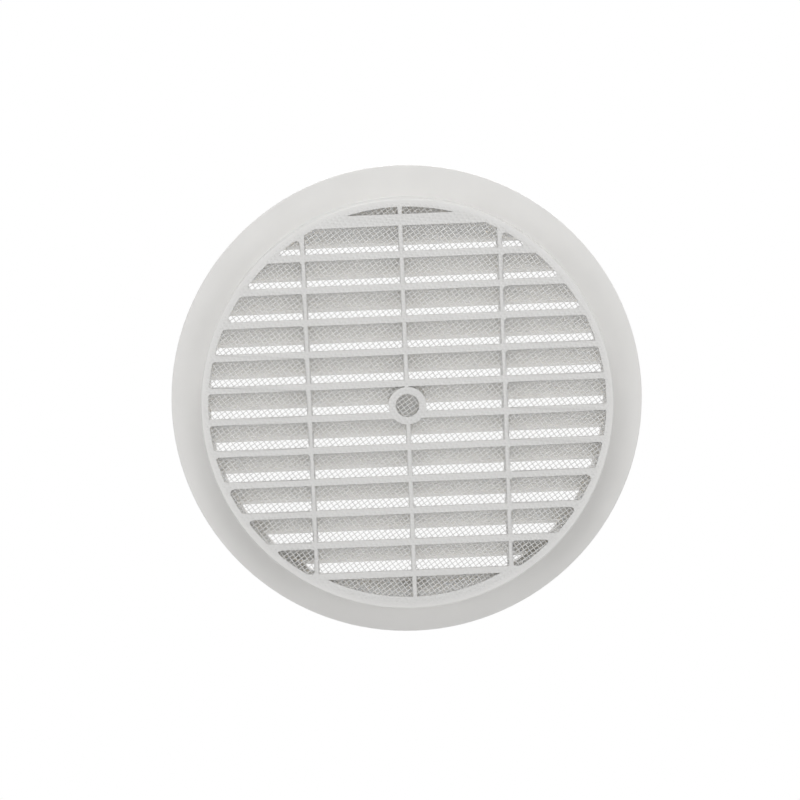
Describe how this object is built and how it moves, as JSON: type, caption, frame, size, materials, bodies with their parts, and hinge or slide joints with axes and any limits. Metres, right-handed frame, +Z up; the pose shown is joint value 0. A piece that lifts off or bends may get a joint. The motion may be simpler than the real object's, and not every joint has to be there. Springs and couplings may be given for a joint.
{
  "type": "vent grille",
  "caption": "Round louvred vent grille with a flat flange, a push-in duct spigot and an insect mesh moulded in behind the blades.",
  "frame": {"origin": "on the axis, in the plane of the flange's back face, where the spigot starts", "axes": "+Y along the axis into the duct, the louvred front faces -Y, +Z up with the blades level along X"},
  "size_m": [0.17, 0.0165, 0.17],
  "materials": {
    "white_plastic": "satin moulded off-white",
    "mesh_plastic": "fine woven pale thread"
  },
  "bodies": {
    "root": {"grille_body": "white_plastic", "insect_mesh": "mesh_plastic"}
  },
  "joints": []
}
